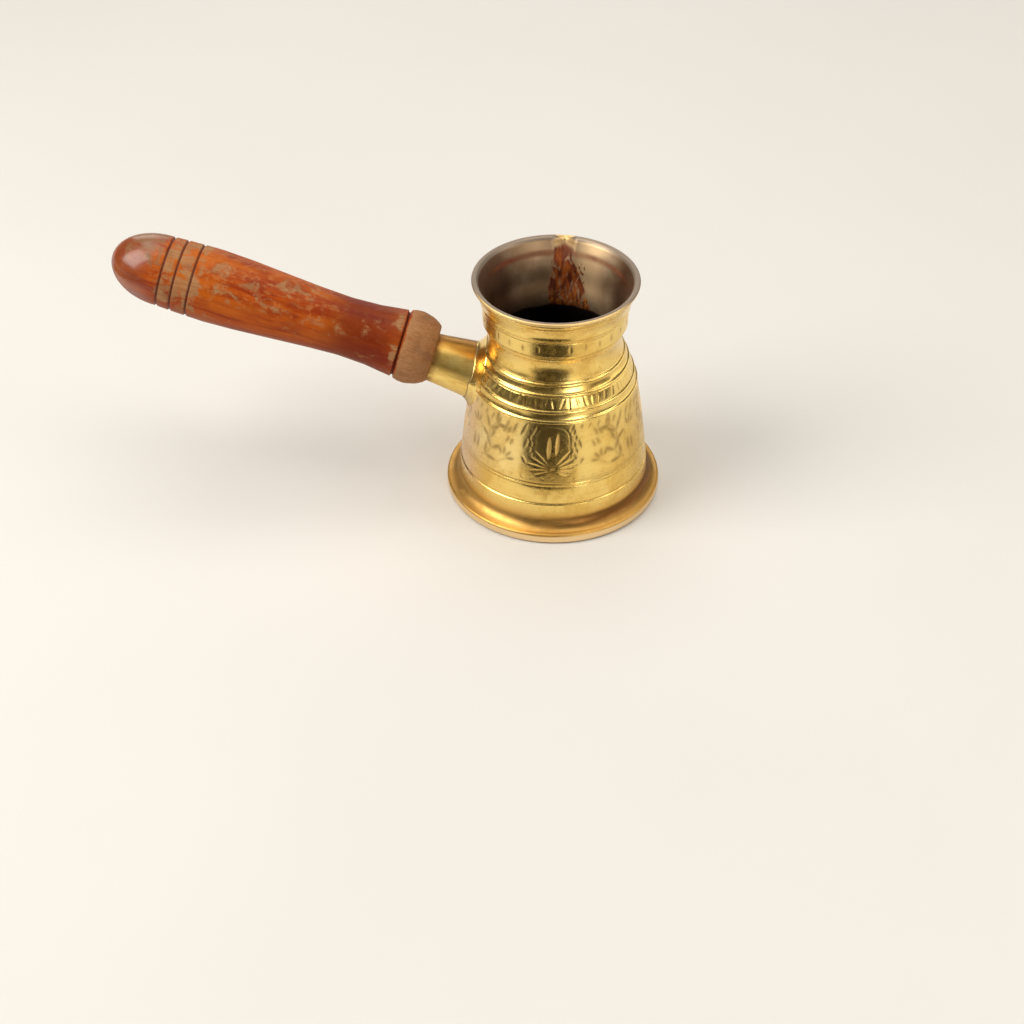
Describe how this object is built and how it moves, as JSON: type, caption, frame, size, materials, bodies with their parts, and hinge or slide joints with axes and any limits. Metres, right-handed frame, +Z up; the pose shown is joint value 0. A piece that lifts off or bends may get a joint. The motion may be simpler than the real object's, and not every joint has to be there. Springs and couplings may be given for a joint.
{
  "type": "coffee pot",
  "caption": "Long-handled Turkish coffee pot of turned brass with a tinned inside, a pressed pouring lip, chased bands, a wide foot and a turned wooden handle on a brazed ferrule.",
  "frame": {"origin": "centre of the foot's flat underside", "axes": "+Z up along the pot's axis; the handle leaves along -X and rises; the pouring lip faces +Y"},
  "size_m": [0.2019, 0.08, 0.0935],
  "materials": {
    "brass": "polished cast and turned brass with chased marks, darkened in the recesses",
    "tin": "worn wiped tin, coffee-stained, nearly black below the throat",
    "ferrule_brass": "polished brass with lengthwise file marks",
    "braze": "bright run of braze with a dark edge",
    "steel": "plain zinc-plated steel",
    "wood": "red-brown lacquered beech, worn pale on the collar and the upper side"
  },
  "bodies": {
    "root": {"pot_body": "brass", "tin_lining": "tin", "ferrule": "ferrule_brass", "braze_fillet": "braze", "root_plug": "ferrule_brass", "stud": "steel", "lock_washer": "steel", "lock_nut": "steel", "threaded_insert": "ferrule_brass", "wooden_handle": "wood"}
  },
  "joints": []
}
